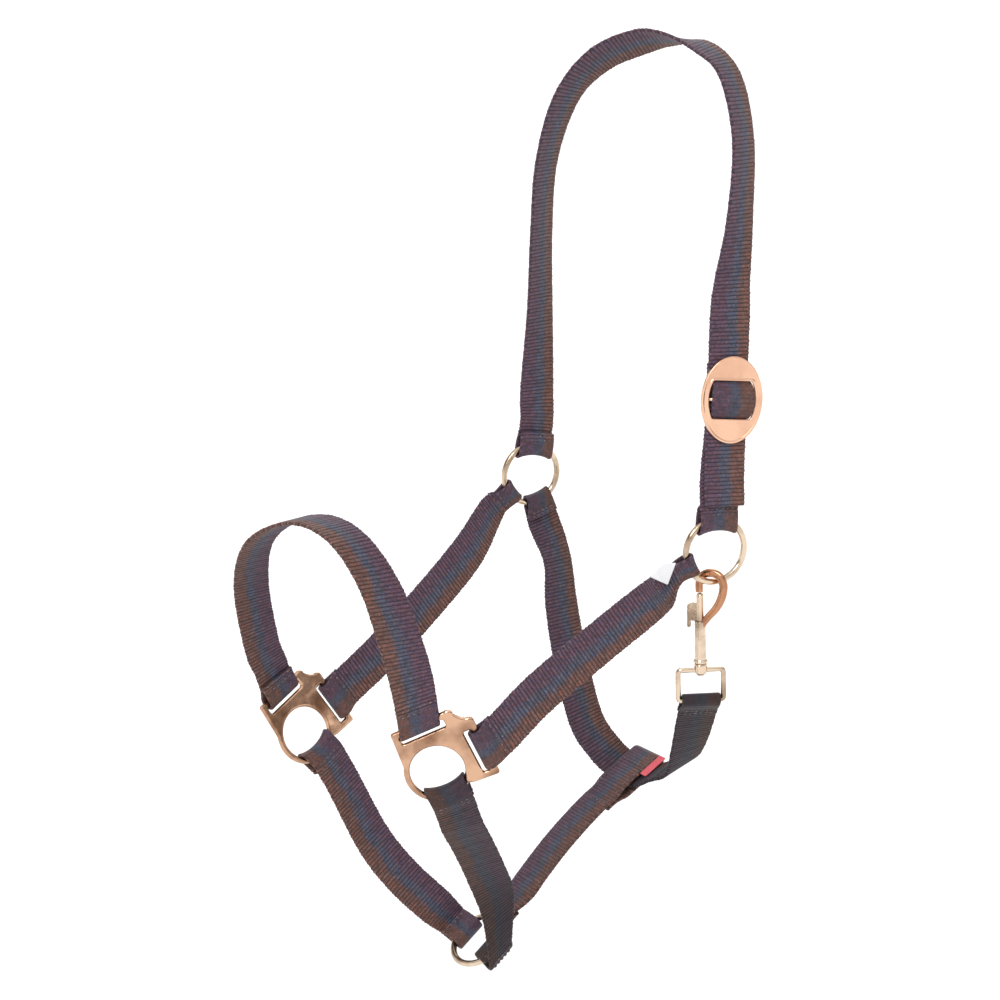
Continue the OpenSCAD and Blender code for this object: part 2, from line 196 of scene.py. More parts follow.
def smooth(rows, spacing=0.5):
    """A curve through the rows, as the CAD has it, with finer steps."""
    last = len(rows) - 1
    out = []
    for i in range(last):
        n = max(1, round(np.linalg.norm(rows[i + 1][PLACE] - rows[i][PLACE]) / spacing))
        for k in range(n):
            out.append(blend4(rows[max(i - 1, 0)], rows[i], rows[i + 1], rows[min(i + 2, last)], k / n))
    out.append(rows[last])
    return np.array(out)


def ease(x):
    c = np.clip(x, 0, 1)
    return c * c * (3 - 2 * c)


# wire is the radius of what the fold goes round; bow is the inside radius of the ring that it follows, or 0
Fold = namedtuple("Fold", "wire sink length bow")
CUT = Fold(0, 0, 0, 0)


def spread(fold, d):
    if fold.wire == 0:
        return np.full_like(d, HALF_PLY)
    r = fold.wire + CLEAR + WEB_T / 2
    return r + (HALF_PLY - r) * ease((d - fold.sink) / TAPER_LEN)


def unit_rows(a):
    return a / np.linalg.norm(a, axis=1, keepdims=True)


def normals_of(points, directions):
    tangents = np.gradient(points, axis=0)
    return unit_rows(np.cross(directions, tangents)), unit_rows(tangents)


def run_of(points):
    """The distance along a line of points, at each of them."""
    steps = np.linalg.norm(np.diff(points, axis=0), axis=1)
    return np.concatenate([[0], np.cumsum(steps)])


class Centre:
    """The line between the two layers of a strap, with what the sewing needs."""

    def __init__(self, rows, side, fold_a, fold_b):
        s = smooth(rows)
        self.p = s[:, PLACE]
        self.dir = unit_rows(s[:, ACROSS])
        self.w = s[:, WIDTH]
        self.run = run_of(self.p)
        self.total = self.run[-1]
        n, self.tangent = normals_of(self.p, self.dir)
        self.nrm = side * n
        self.gap = np.maximum(spread(fold_a, self.run), spread(fold_b, self.total - self.run))
        self.folds = (fold_a, fold_b)


FOLD_ARC = 80  # degrees to each side; the layers' own ends close the rest
FOLD_STEPS = 10


def fold_arc(c, t, n, r):
    angles = np.radians(np.linspace(FOLD_ARC, -FOLD_ARC, FOLD_STEPS))
    return [c + r * (n * math.sin(a) - t * math.cos(a)) for a in angles]


BOW_FADE = 9
SMOOTH_LEN = 8.5  # the weave is pressed flat beside a fold
SMOOTH_FADE = 2
PRESSED_RIB = 0.12


def bow_at(fold, d):
    """How strongly a layer follows the curve of the ring, at distance d from the fold."""
    return np.exp(-d / BOW_FADE) if fold.bow else np.zeros_like(d)


def strap_path(c):
    """The webbing's path: out of the first fold, along the front and into the last fold."""
    fold_a, fold_b = c.folds
    rib = np.ones_like(c.run)
    for fold, d in ((fold_a, c.run), (fold_b, c.total - c.run)):
        if fold.wire:
            rib *= PRESSED_RIB + (1 - PRESSED_RIB) * ease((d - SMOOTH_LEN) / SMOOTH_FADE)
    bow_a, bow_b = bow_at(fold_a, c.run), bow_at(fold_b, c.total - c.run)
    bow = bow_a[:, None] * c.tangent[0] - bow_b[:, None] * c.tangent[-1]
    radius = np.where(bow_a > bow_b, fold_a.bow, fold_b.bow).astype(float)
    half_gap = c.nrm * c.gap[:, None]
    front = np.hstack([c.p - half_gap, c.dir, c.w[:, None], rib[:, None], bow, radius[:, None]])
    back = front.copy()
    back[:, PLACE] = c.p + half_gap
    parts = []
    if fold_a.wire:
        keep = c.run <= fold_a.length
        parts.append(back[keep][::-1])
        arc = fold_arc(c.p[0], c.tangent[0], c.nrm[0], c.gap[0])
        parts.append(np.hstack([arc, np.tile(front[0, AFTER_PLACE], (len(arc), 1))]))
    parts.append(front)
    if fold_b.wire:
        arc = fold_arc(c.p[-1], -c.tangent[-1], -c.nrm[-1], c.gap[-1])
        parts.append(np.hstack([arc, np.tile(front[-1, AFTER_PLACE], (len(arc), 1))]))
        keep = c.total - c.run <= fold_b.length
        parts.append(back[keep][::-1])
    return np.vstack(parts)


PAINTED_SHADE_CHANGE = (0.54, 0.64)  # where along the webbing the painted shade turns from its first value into its second
RIB_PITCH = 2.35
RIB_STEPS = 6
RIB_H = 0.3
RIB_EDGE_H = 0.22  # how far the ribs stand out at the strap's edges
RIB_SHAPE = 0.65  # below 1, the crests are broad and the grooves narrow
RIB_MEAN = 0.6
SKIN = 0.12  # how far the mean face lies inside the CAD's
END_ROUND = 0.8
BOW_SHARE = 0.55  # how much of a ring's curve the webbing follows
FACE_COLUMNS = 20
EDGE_COLUMNS = 5
SHARP = math.radians(50)


def section():
    """(across in half widths, across in thicknesses, through, u) round one cross-section."""
    xs = np.linspace(-1, 1, FACE_COLUMNS)
    loop = [(x, 0, 1, (x + 1) / 2) for x in xs]
    angles = np.radians(np.linspace(90, -90, EDGE_COLUMNS + 2))[1:-1]
    loop += [(1, math.cos(a), math.sin(a), 1) for a in angles]
    loop += [(x, 0, -1, (x + 1) / 2) for x in xs[::-1]]
    loop += [(-1, -math.cos(a), -math.sin(a), 0) for a in angles]
    return np.array(loop)


def resample(path, spacing):
    """The path in steps of about spacing, and the distance along it."""
    run = run_of(path[:, PLACE])
    n = max(2, int(round(run[-1] / spacing)))
    s = np.linspace(0, run[-1], n + 1)
    return np.column_stack([np.interp(s, run, path[:, k]) for k in range(path.shape[1])]), s


def soften(a, times):
    for _ in range(times):
        b = a.copy()
        b[1:-1] = (a[:-2] + 2 * a[1:-1] + a[2:]) / 4
        a = b
    return a


def wall(a, b, n):
    """Faces between two rings of n vertices, which start at a and b."""
    return [(a + k, a + (k + 1) % n, b + (k + 1) % n, b + k) for k in range(n)]


def new_object(name, verts, faces, material, smooth_shading=True):
    mesh = bpy.data.meshes.new(name)
    mesh.from_pydata((np.asarray(verts) * MM).tolist(), [], faces)
    mesh.materials.append(material)
    if smooth_shading:
        mesh.shade_smooth()
        mesh.set_sharp_from_angle(angle=SHARP)
    obj = bpy.data.objects.new(name, mesh)
    bpy.context.scene.collection.objects.link(obj)
    return obj


def piece(obj, body, slot, *nodes):
    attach(obj, body)
    if nodes:
        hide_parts(*nodes)
    return obj


def rib_heights(phase):
    """How far the ribs stand out of the mean face, where phase counts them."""
    ridge = np.abs(np.sin(np.pi * phase)) ** RIB_SHAPE
    number = np.floor(phase)
    uneven = 1 + 0.25 * np.sin(2.1 * number) + 0.15 * np.sin(5.3 * number)
    return ridge * uneven - RIB_MEAN


def bow_lift(rows, x):
    """How far each place at x across the webbing moves, to follow the curve of the ring."""
    radius = rows[:, BOW_R]
    inside = np.maximum(radius[:, None] ** 2 - x ** 2, 1)
    edge = np.sqrt(np.maximum(radius ** 2 - (rows[:, WIDTH] / 2) ** 2, 1))
    return BOW_SHARE * np.where(radius[:, None] > 0, np.sqrt(inside) - edge[:, None], 0)


def skin_faces(count, around):
    """Quads between neighbouring cross-sections, and a face over each end."""
    index = np.arange(count * around).reshape(count, around)
    a, b = index[:-1], index[1:]
    an, bn = np.roll(a, -1, axis=1), np.roll(b, -1, axis=1)
    faces = np.stack([a, an, bn, b], axis=-1).reshape(-1, 4).tolist()
    return faces + [index[0][::-1].tolist(), index[-1].tolist()]


def add_map(obj, name, u, v):
    """A UV map with one place for each vertex."""
    corner = np.empty(len(obj.data.loops), np.int32)
    obj.data.loops.foreach_get("vertex_index", corner)
    layer = obj.data.uv_layers.new(name=name)
    layer.data.foreach_set("uv", np.column_stack([u, v])[corner].ravel())


def webbing_mesh(name, path, material, rust_low, shades=(1, 1)):
    """Ribbed webbing along a path. rust_low says which edge has the rust stripe.

    The map "strap" runs across the width and counts ribs along it; "ribs" says how tall they are and, in its
    second value, the painted shade: how light the webbing is painted. shades give it for the first half and
    the rest.
    """
    rows, s = resample(path, RIB_PITCH / RIB_STEPS)
    p = soften(rows[:, PLACE], 1)
    directions = unit_rows(rows[:, ACROSS])
    n, _ = normals_of(p, directions)
    n = unit_rows(soften(n, 3))
    phase = s / RIB_PITCH
    rib = rows[:, RIB] * rib_heights(phase)
    end_round = np.sqrt(np.clip(np.minimum(s, s[-1] - s) / END_ROUND, 0.02, 1))
    half_t = (WEB_T / 2 - SKIN + RIB_H * rib) * end_round
    half_w = rows[:, WIDTH] / 2 - WEB_T / 2 + RIB_EDGE_H * rib
    loop = section()
    x = loop[None, :, 0] * half_w[:, None] + loop[None, :, 1] * half_t[:, None]
    z = loop[None, :, 2] * half_t[:, None]
    verts = p[:, None] + directions[:, None] * x[..., None] + n[:, None] * z[..., None]
    verts = verts + rows[:, None, BOW] * bow_lift(rows, x)[..., None]
    count, around = len(s), len(loop)
    obj = new_object(name, verts.reshape(-1, 3), skin_faces(count, around), material)
    u = loop[:, 3] if rust_low else 1 - loop[:, 3]
    # painted shade: how light the webbing is painted at each cross-section, darker where it lies in shade
    light = np.interp(s / s[-1], PAINTED_SHADE_CHANGE, shades)
    add_map(obj, "strap", np.tile(u, count), np.repeat(phase, around))
    add_map(obj, "ribs", np.repeat(rows[:, RIB], around), np.repeat(light, around))
    return obj


# ---- sewing ----
STITCH_LEN = 2.3
STITCH_STEP = 3.0
STITCH_R = 0.42
STITCH_SIDES = 6
# (place along a stitch, radius, rise): it dips into the webbing at both ends
STITCH_RINGS = [(-0.5, 0.12, -0.35), (-0.4, 0.8, -0.05), (-0.15, 1, 0.12),
                (0.15, 1, 0.12), (0.4, 0.8, -0.05), (0.5, 0.12, -0.35)]
SEAM_IN = 2.5  # from a strap's edge to its stitches
SEAM_POINTS = 12
BOX_MIN = 5  # a shorter box has no stitches along its sides
SEAM_OUT = 0.02


def add_stitch(verts, faces, place, forward, normal):
    side = np.cross(forward, normal)
    start = len(verts)
    around = STITCH_SIDES
    for t, r, rise in STITCH_RINGS:
        c = place + forward * t * STITCH_LEN + normal * rise
        for k in range(around):
            a = 2 * math.pi * k / around
            verts.append(c + STITCH_R * r * (side * math.cos(a) + normal * math.sin(a)))
    last = start + (len(STITCH_RINGS) - 1) * around
    for q in range(start, last, around):
        faces += wall(q + around, q, around)
    faces.append(tuple(start + k for k in range(around)))
    faces.append(tuple(last + k for k in range(around))[::-1])


def between(m, run, table):
    """The row of table at distance m."""
    return np.array([np.interp(m, run, table[:, k]) for k in range(3)])


def sew_line(verts, faces, points, normals):
    run = run_of(points)
    count = max(1, int(run[-1] // STITCH_STEP))
    tangents = np.gradient(points, axis=0)
    for m in (np.arange(count) + 0.5) * run[-1] / count:
        forward, normal = unit(between(m, run, tangents)), unit(between(m, run, normals))
        add_stitch(verts, faces, between(m, run, points), forward, normal)


def sewing(name, c, ends, material):
    """Box stitching on both faces of each fold. ends are (0 or 1, near distance, far distance)."""
    verts, faces = [], []
    for end, near, far in ends:
        d = c.run if end == 0 else c.total - c.run
        for side in (-1, 1):
            lift = c.gap + WEB_T / 2 + SEAM_OUT
            surface = c.p + side * c.nrm * lift[:, None]
            for mark in (near, far):
                i = int(np.argmin(np.abs(d - mark)))
                xs = np.linspace(-0.5, 0.5, SEAM_POINTS) * (c.w[i] - 2 * SEAM_IN)
                line = surface[i] + xs[:, None] * c.dir[i]
                sew_line(verts, faces, line, np.tile(side * c.nrm[i], (SEAM_POINTS, 1)))
            if far - near < BOX_MIN:
                continue
            inside = (d >= near) & (d <= far)
            for edge in (-1, 1):
                line = surface[inside] + edge * c.dir[inside] * (c.w[inside, None] / 2 - SEAM_IN)
                if len(line) > 3:
                    sew_line(verts, faces, line, side * c.nrm[inside])
    return new_object(name, verts, faces, material)


# ---- routes of the straps, as the CAD has them ----
def ring_fold(w, radius=RING_R):
    return Fold(WIRE_R, sink(radius, WIRE_R, w), FOLD_LEN, radius - WIRE_R)


def ring_end(f, angle, w, back, sense=-1):
    start = RING_R - sink(RING_R, WIRE_R, w) + back
    return row(f.centre + start * spoke(f, angle), sense * along_wire(f, angle), w)


RIM_R = EYE_R + RIM_W / 2
RIM_SINK = sink(RIM_R, RIM_W / 2, WEB_W)
rim_fold = Fold(RIM_W / 2 + CORNER_ROOM, RIM_SINK, FOLD_LEN, EYE_R)
bar_fold = Fold(BAR_W / 2 + CORNER_ROOM, 0, FOLD_LEN, 0)
chin_fold = Fold(WIRE_R + 1.2, sink(CHIN_RING_R, WIRE_R, CHIN_W), FOLD_LEN, 0)
far_cheek_w = GATHERED_W - 2
near_cheek_w = GATHERED_W - 3.5
label_fold = Fold(WIRE_R, sink(RING_R, WIRE_R, near_cheek_w), LABEL_FOLD_LEN, RING_R - WIRE_R)
NEAR_CHEEK_ANGLE = -156  # where on its ring each strap is sewn
FAR_CHEEK_ANGLE = -144
THROAT_ANGLE = -73
CROWN_ANGLE = 82
ADJUSTER_ANGLE = 88
RIM_FOOT = RIM_SINK - RIM_R  # where a chin strap meets the rim of its square's eye
NEAR_LEG_YAW = math.radians(-24)
crown_out = HALF_PLY + WEB_T + PLY_GAP
TAIL_FLARE = 3
near_leg_dir = vec(math.cos(NEAR_LEG_YAW), math.sin(NEAR_LEG_YAW), 0)
near_leg_top = vec(-6, -78, -171)
near_leg_low = vec(-15, -87, -277)
near_leg_out = unit(np.cross(near_leg_low - near_leg_top, near_leg_dir))


def near_leg(t):
    return near_leg_top + t * (near_leg_low - near_leg_top)


def crown_rows():
    rows = [ring_end(far_ring_at, CROWN_ANGLE, WEB_W, back) for back in (0, 22)]
    rows += [row(p, d) for p, d in (
        ((-25, 83, -227), (1, -0.15, 0)),
        ((-27, 77, -173), (0.97, 0.2, 0)),
        ((-32, 69, -120), (0.94, 0.34, 0)),
        ((-35, 60, -75), (0.94, 0.34, 0)),
        ((-31, 46, -36), (0.93, 0.2, -0.1)),
        ((-20, 29, -13), (0.8, 0.2, -0.45)),
        ((-6, 8, -2), (0.76, 0.3, -0.56)),
        ((3, -8, 0), (0.82, 0.47, -0.32)),
        ((13, -27, -4), (0.91, 0.39, 0.14)),
        ((20, -44, -20), (0.95, 0.29, 0)),
        ((20, -57, -57), (0.95, 0.30, 0)),
        ((10, -67, -102), (0.99, 0.16, 0)),
        ((-1, -74.5, -137), (0.99, -0.2, 0)))]
    for t, flare in ((-0.14, 0), (0.2, 0), (0.5, 0), (0.72, 0), (0.82, 0.3), (0.93, 1)):
        out = crown_out - HALF_PLY + TAIL_FLARE * flare
        rows.append(row(near_leg(t) + near_leg_out * out, near_leg_dir))
    return rows


def adjuster_rows():
    return [row(near_leg(0.12), near_leg_dir),
            row(near_leg(0.45), near_leg_dir),
            row(near_leg(0.75) - 2 * near_leg_dir, near_leg_dir),
            ring_end(near_ring_at, ADJUSTER_ANGLE, WEB_W, 10),
            ring_end(near_ring_at, ADJUSTER_ANGLE, WEB_W, 0)]


def near_cheek_rows():
    return [row(at(near_square_at, BAR_AT, 2), near_square_at.up),
            row((-174, -82, -379), (-0.42, 0.36, 0.84)),
            row((-147, -81, -362), (-0.42, 0.38, 0.83)),
            row((-101, -80, -340), (-0.42, 0.4, 0.82)),
            row((-70, -83, -323), (-0.45, 0.36, 0.82)),
            row((-50, -76, -319), (-0.45, 0.3, 0.82), WEB_W - 3),
            ring_end(near_ring_at, NEAR_CHEEK_ANGLE, near_cheek_w, 9),
            ring_end(near_ring_at, NEAR_CHEEK_ANGLE, near_cheek_w, 0)]


def far_cheek_rows():
    return [row(at(far_square_at, BAR_AT, 2), far_square_at.up),
            row(at(far_square_at, BAR_AT + 12, 3), far_square_at.up),
            row((-156, 74, -379), (-0.42, 0.4, 0.82)),
            row((-118, 75, -351), (-0.42, 0.4, 0.82)),
            row((-84, 80, -326), (-0.45, 0.36, 0.82)),
            ring_end(far_ring_at, FAR_CHEEK_ANGLE, 22, 21),
            ring_end(far_ring_at, FAR_CHEEK_ANGLE, far_cheek_w, 9),
            ring_end(far_ring_at, FAR_CHEEK_ANGLE, far_cheek_w, 0)]


def noseband_rows():
    rows = [row(at(far_square_at, 3, BAR_AT), far_square_at.right)]
    rows += [row(p, d) for p, d in (
        ((-238, 69, -371), (0.93, 0.15, 0.3)),
        ((-246, 65, -354), (0.98, 0.1, 0.2)),
        ((-259, 52, -311), (1, 0.1, 0)),
        ((-268, 26, -278), (0.96, 0.25, -0.05)),
        ((-262, 5, -262), (0.98, 0.2, 0)),
        ((-254, -18, -257), (1, 0.1, 0)),
        ((-247, -40, -265), (1, 0.05, 0)),
        ((-239, -57, -288), (0.98, -0.15, 0)),
        ((-230, -63, -320), (0.9, -0.38, 0.1)),
        ((-222, -62, -346), (0.82, -0.48, 0.25)))]
    return rows + [row(at(near_square_at, 3, BAR_AT), near_square_at.right)]


CHIN_SLANT = math.radians(20)


def chin_end(way, back):
    from_ring = way * (CHIN_RING_R - sink(CHIN_RING_R, WIRE_R, CHIN_W))
    away = math.cos(CHIN_SLANT) * vec(0, way, 0) + math.sin(CHIN_SLANT) * chin_front
    return row(chin_ring_c + vec(0, from_ring, 0) + back * away, chin_up, CHIN_W)


def near_chin_rows():
    return [row(at(near_square_at, 0, RIM_FOOT), near_square_at.right),
            row(at(near_square_at, 0, RIM_FOOT - 9), near_square_at.right),
            row((-190, -64, -438.5), (0.78, -0.55, 0.30)),
            row((-173.5, -51, -460), (0.80, -0.53, 0.26)),
            row((-154, -37, -489), (0.82, -0.45, 0.30)),
            row((-138, -27, -520), (0.82, -0.2, 0.5)),
            chin_end(-1, 12),
            chin_end(-1, 0)]


def far_chin_rows():
    return [row(at(far_square_at, 0, RIM_FOOT), far_square_at.right),
            row(at(far_square_at, 1, RIM_FOOT - 20), far_square_at.right),
            row((-183, 46, -490), (0.86, 0.08, 0.48)),
            row((-167, 36, -517), (0.80, 0, 0.58)),
            row((-148, 27, -540), (0.82, 0, 0.57)),
            chin_end(1, 12),
            chin_end(1, 0)]


def jowl_rows():
    start = CHIN_RING_R - sink(CHIN_RING_R, WIRE_R, GATHERED_W)
    rows = [row(chin_ring_c + start * chin_up, (0, 1, 0), GATHERED_W),
            row(chin_ring_c + (start + 9) * chin_up, (0, 1, 0), GATHERED_W + 2)]
    for x, z in ((-99, -534), (-86, -522), (-67, -506), (-42, -489), (-21, -478.4), (5, -465.3)):
        rows.append(row((x, 0, z), (0, 1, 0)))
    return rows


throat_fold = Fold(2.2, WEB_W + 4, WEB_W + 24, 0)  # a loop that the throat strap runs through


def throat_rows():
    rows = [ring_end(far_ring_at, THROAT_ANGLE, GATHERED_W + 1, 0, 1),
            ring_end(far_ring_at, THROAT_ANGLE, WEB_W - 2, 19, 1)]
    rows += [row(p, d) for p, d in (
        ((-12, 76, -343), (1, 0.1, 0)),
        ((-15, 68, -370), (1, -0.1, 0.05)),
        ((-17, 56, -403), (1, -0.2, 0.15)),
        ((-17, 38, -444), (0.95, -0.2, 0.3)),
        ((-12, 24, -462), (0.92, -0.1, 0.4)),
        ((-8, 11, -470), (0.89, 0, 0.45)),
        ((-8, -11, -470), (0.89, 0, 0.45)),
        ((-5, -26, -463), (0.9, -0.1, 0.42)),
        ((0, -38.5, -456), (0.9, -0.2, 0.4)),
        ((-6, -53, -436), (0.9, -0.35, 0.2)),
        ((-16, -71, -407), (0.85, -0.5, 0.05)))]
    return rows + [row(at(snap_at, 0, -24.5), snap_at.right, WEB_W - 1)]


jowl_fold = ring_fold(GATHERED_W, CHIN_RING_R)
eye_fold = Fold(EYE_WIRE_R, 0, FOLD_LEN, 0)
# side is the side of the path on which the folds' second layer lies; shades are painted shade, the lightness
# of the first half and of the rest; rib is how tall the ribs are
Strap = namedtuple("Strap", "name rows side fold_a fold_b rust_low shades rib", defaults=[(1, 1), 1])
STRAPS = [
    Strap("crown_strap", crown_rows, 1, ring_fold(WEB_W), CUT, False),
    Strap("adjuster_strap", adjuster_rows, 1, CUT, ring_fold(WEB_W), False),
    Strap("near_cheek_strap", near_cheek_rows, 1, bar_fold, label_fold, True),
    Strap("far_cheek_strap", far_cheek_rows, 1, bar_fold, ring_fold(far_cheek_w), True),
    Strap("noseband", noseband_rows, 1, bar_fold, bar_fold, True),
    # painted shade: the near chin strap faces down, away from the light, and is painted darker
    Strap("near_chin_strap", near_chin_rows, 1, rim_fold, chin_fold, True, (0.5, 0.3)),
    Strap("far_chin_strap", far_chin_rows, 1, rim_fold, chin_fold, True),
    Strap("jowl_strap", jowl_rows, 1, jowl_fold, throat_fold, True, (1, 1), 0.5),
    # painted shade: the throat strap's near leg lies in shade and is painted darker
    Strap("throat_strap", throat_rows, -1, ring_fold(GATHERED_W + 1), eye_fold, False, (0.8, 0.3)),
]


# ---- materials ----
def set_stops(color_ramp, stops):
    elements = color_ramp.elements
    while len(elements) < len(stops):
        elements.new(0.5)
    for element, (position, colour) in zip(elements, stops):
        element.position = position
        element.color = (*colour, 1)


def greys(*stops):
    """Stops of a ramp from pairs of position and grey value."""
    return [(position, (value, value, value)) for position, value in stops]


MIX_INPUTS = (0, 6, 7)  # of a colour mix: the factor and the two colours
MIX_OUTPUT = 2


class Graph:
    """Short calls for the nodes of one material."""

    def __init__(self, name):
        self.material = bpy.data.materials.new(name)
        self.material.use_nodes = True
        self.nodes = self.material.node_tree.nodes
        self.shader = self.nodes["Principled BSDF"]

    def link(self, a, b):
        self.material.node_tree.links.new(a, b)

    def math(self, kind, *values):
        n = self.nodes.new("ShaderNodeMath")
        n.operation = kind
        for socket, v in zip(n.inputs, values):
            if isinstance(v, (int, float)):
                socket.default_value = v
            else:
                self.link(v, socket)
        return n.outputs[0]

    def noise(self, vector, scale, detail=3, roughness=0.5):
        n = self.nodes.new("ShaderNodeTexNoise")
        n.inputs["Scale"].default_value = scale
        n.inputs["Detail"].default_value = detail
        n.inputs["Roughness"].default_value = roughness
        self.link(vector, n.inputs["Vector"])
        return n.outputs["Fac"]

    def ramp(self, factor, stops):
        n = self.nodes.new("ShaderNodeValToRGB")
        set_stops(n.color_ramp, stops)
        self.link(factor, n.inputs["Fac"])
        return n.outputs["Color"]

    def mix(self, factor, a, b, kind="MIX"):
        n = self.nodes.new("ShaderNodeMix")
        n.data_type = "RGBA"
        n.blend_type = kind
        for k, v in zip(MIX_INPUTS, (factor, a, b)):
            socket = n.inputs[k]
            if isinstance(v, (int, float)):
                socket.default_value = v
            elif isinstance(v, tuple):
                socket.default_value = (*v, 1)
            else:
                self.link(v, socket)
        return n.outputs[MIX_OUTPUT]

    def bump(self, height, distance, strength, normal=None):
        n = self.nodes.new("ShaderNodeBump")
        n.inputs["Distance"].default_value = distance
        n.inputs["Strength"].default_value = strength
        self.link(height, n.inputs["Height"])
        if normal is not None:
            self.link(normal, n.inputs["Normal"])
        return n.outputs["Normal"]

    def place(self):
        n = self.nodes.new("ShaderNodeTexCoord")
        return n.outputs["Object"]

    def map_axes(self, name):
        """The two values of a UV map."""
        uv = self.nodes.new("ShaderNodeUVMap")
        uv.uv_map = name
        split = self.nodes.new("ShaderNodeSeparateXYZ")
        self.link(uv.outputs["UV"], split.inputs[0])
        return split.outputs["X"], split.outputs["Y"]

    def pair(self, x, y):
        n = self.nodes.new("ShaderNodeCombineXYZ")
        self.link(x, n.inputs[0])
        self.link(y, n.inputs[1])
        return n.outputs[0]

    def set(self, **values):
        for key, v in values.items():
            self.shader.inputs[key.replace("_", " ")].default_value = v

    def feed(self, **outputs):
        for key, output in outputs.items():
            self.link(output, self.shader.inputs[key.replace("_", " ")])


RUST = (0.108, 0.052, 0.040)
SLATE = (0.054, 0.058, 0.083)
MAUVE = (0.074, 0.040, 0.060)
STRIPES = [(0.0, RUST), (0.24, RUST), (0.40, SLATE), (0.50, SLATE), (0.70, MAUVE), (1.0, MAUVE)]
STRIPE_DRIFT = 0.45  # how far the stripes stray, in widths of the strap
YARNS = 34  # across the width
GROOVE_PAINTED_SHADE = 0.16  # painted shade between the ribs, and the lightness of webbing that is pressed flat
GROOVE_FLAT = 0.8
WANDER = 0.3  # how far the ribs stray from straight, in ribs
# Noises: scale, detail and roughness
DRIFT_NOISE = (26, 4, 0.65)
MAP_NOISE = (1.0, 2, 0.6)
FIBRE_NOISE = (1300, 3, 0.8)
HUE_NOISE = (420, 2, 0.6)


def wave(g, phase):
    """0 at whole numbers of phase and 1 between them."""
    return g.math("ABSOLUTE", g.math("SINE", g.math("MULTIPLY", phase, math.pi)))


def stray(g, noise, amount):
    return g.math("MULTIPLY", g.math("SUBTRACT", noise, 0.5), amount)


def webbing_material(name):
    g = Graph(name)
    u, v = g.map_axes("strap")
    ribs, painted_shade = g.map_axes("ribs")
    place = g.place()
    number = g.math("FLOOR", v)
    across = g.math("ADD", u, stray(g, g.noise(place, *DRIFT_NOISE), STRIPE_DRIFT))
    wavy = g.pair(g.math("MULTIPLY", u, 4), g.math("MULTIPLY", v, 0.6))
    ridge = wave(g, g.math("ADD", v, stray(g, g.noise(wavy, *MAP_NOISE), WANDER)))
    yarn = wave(g, g.math("ADD", g.math("MULTIPLY", u, YARNS), g.math("MULTIPLY", number, 0.5)))
    fibre = g.noise(place, *FIBRE_NOISE)
    # painted shade in the grooves between the ribs and painted light on their crests; pressed webbing is
    # evenly GROOVE_FLAT
    painted_rib_shade = g.ramp(ridge, greys((0.0, GROOVE_PAINTED_SHADE), (0.35, 0.62), (0.8, 1.12), (1.0, 1.18)))
    painted_rib_shade = g.mix(ribs, (GROOVE_FLAT,) * 3, painted_rib_shade)
    threads = g.ramp(yarn, greys((0.0, 0.6), (0.6, 1.0), (1.0, 1.15)))
    speck = g.ramp(fibre, greys((0.38, 0.5), (0.62, 1.55)))
    hue = g.ramp(g.noise(place, *HUE_NOISE), [(0.4, (0.86, 0.98, 1.14)), (0.6, (1.18, 0.98, 0.92))])
    cell = g.pair(g.math("MULTIPLY", u, 5), g.math("MULTIPLY", number, 0.83))
    patch = g.ramp(g.noise(cell, *MAP_NOISE), greys((0.3, 0.72), (0.7, 1.28)))
    colour = g.ramp(across, STRIPES)
    # the last factor, painted_shade, darkens the colour where the webbing lies in shade
    for factor in (painted_rib_shade, threads, speck, hue, patch, painted_shade):
        colour = g.mix(1.0, colour, factor, "MULTIPLY")
    normal = g.bump(g.math("MULTIPLY", yarn, ridge), 0.00018, 0.9)
    normal = g.bump(fibre, 0.00012, 0.8, normal)
    rough = g.ramp(fibre, greys((0.3, 0.5), (0.7, 0.72)))
    g.feed(Base_Color=colour, Normal=normal, Roughness=rough)
    g.set(Sheen_Weight=0.08, Sheen_Roughness=0.4, Specular_IOR_Level=0.3)
    return g.material


def thread_material():
    g = Graph("thread")
    grain = g.noise(g.place(), 1400, 2)
    tones = [(0.35, (0.03, 0.02, 0.025)), (0.6, (0.12, 0.08, 0.085)), (0.68, (0.34, 0.28, 0.26))]
    g.feed(Base_Color=g.ramp(grain, tones), Normal=g.bump(grain, 0.0001, 0.6))
    g.set(Roughness=0.5, Sheen_Weight=0.1)
    return g.material


def metal_material(name, bright, dark, low, high):
    """Satin plating of its own colour, painted in lighter and darker patches that stand in for reflections
    and shade: bright and dark are the patches' colours, low and high its roughness.
    """
    g = Graph(name)
    place = g.place()
    painted_light_patches = g.noise(place, 42, 3, 0.55)
    # painted reflections and shade: random patches of the lit colour and the shaded colour
    colour = g.ramp(painted_light_patches, [(0.34, dark), (0.6, bright)])
    rough = g.ramp(painted_light_patches, greys((0.3, high), (0.7, low)))
    fine = g.bump(g.noise(place, 1200, 3, 0.6), 0.00003, 0.5)
    normal = g.bump(g.noise(place, 60, 2), 0.002, 0.5, fine)
    g.feed(Base_Color=colour, Roughness=rough, Normal=normal)
    g.set(Metallic=1.0)
    return g.material


def cloth_material(name, light, dark, threads):
    g = Graph(name)
    place = g.place()
    weave = g.noise(place, threads, 2)
    soft = g.ramp(g.noise(place, 90, 3), greys((0.3, 0.9), (0.7, 1.05)))
    colour = g.mix(1.0, g.ramp(weave, [(0.3, dark), (0.7, light)]), soft, "MULTIPLY")
    g.feed(Base_Color=colour, Normal=g.bump(weave, 0.00012, 0.7))
    g.set(Roughness=0.6, Sheen_Weight=0.1)
    return g.material


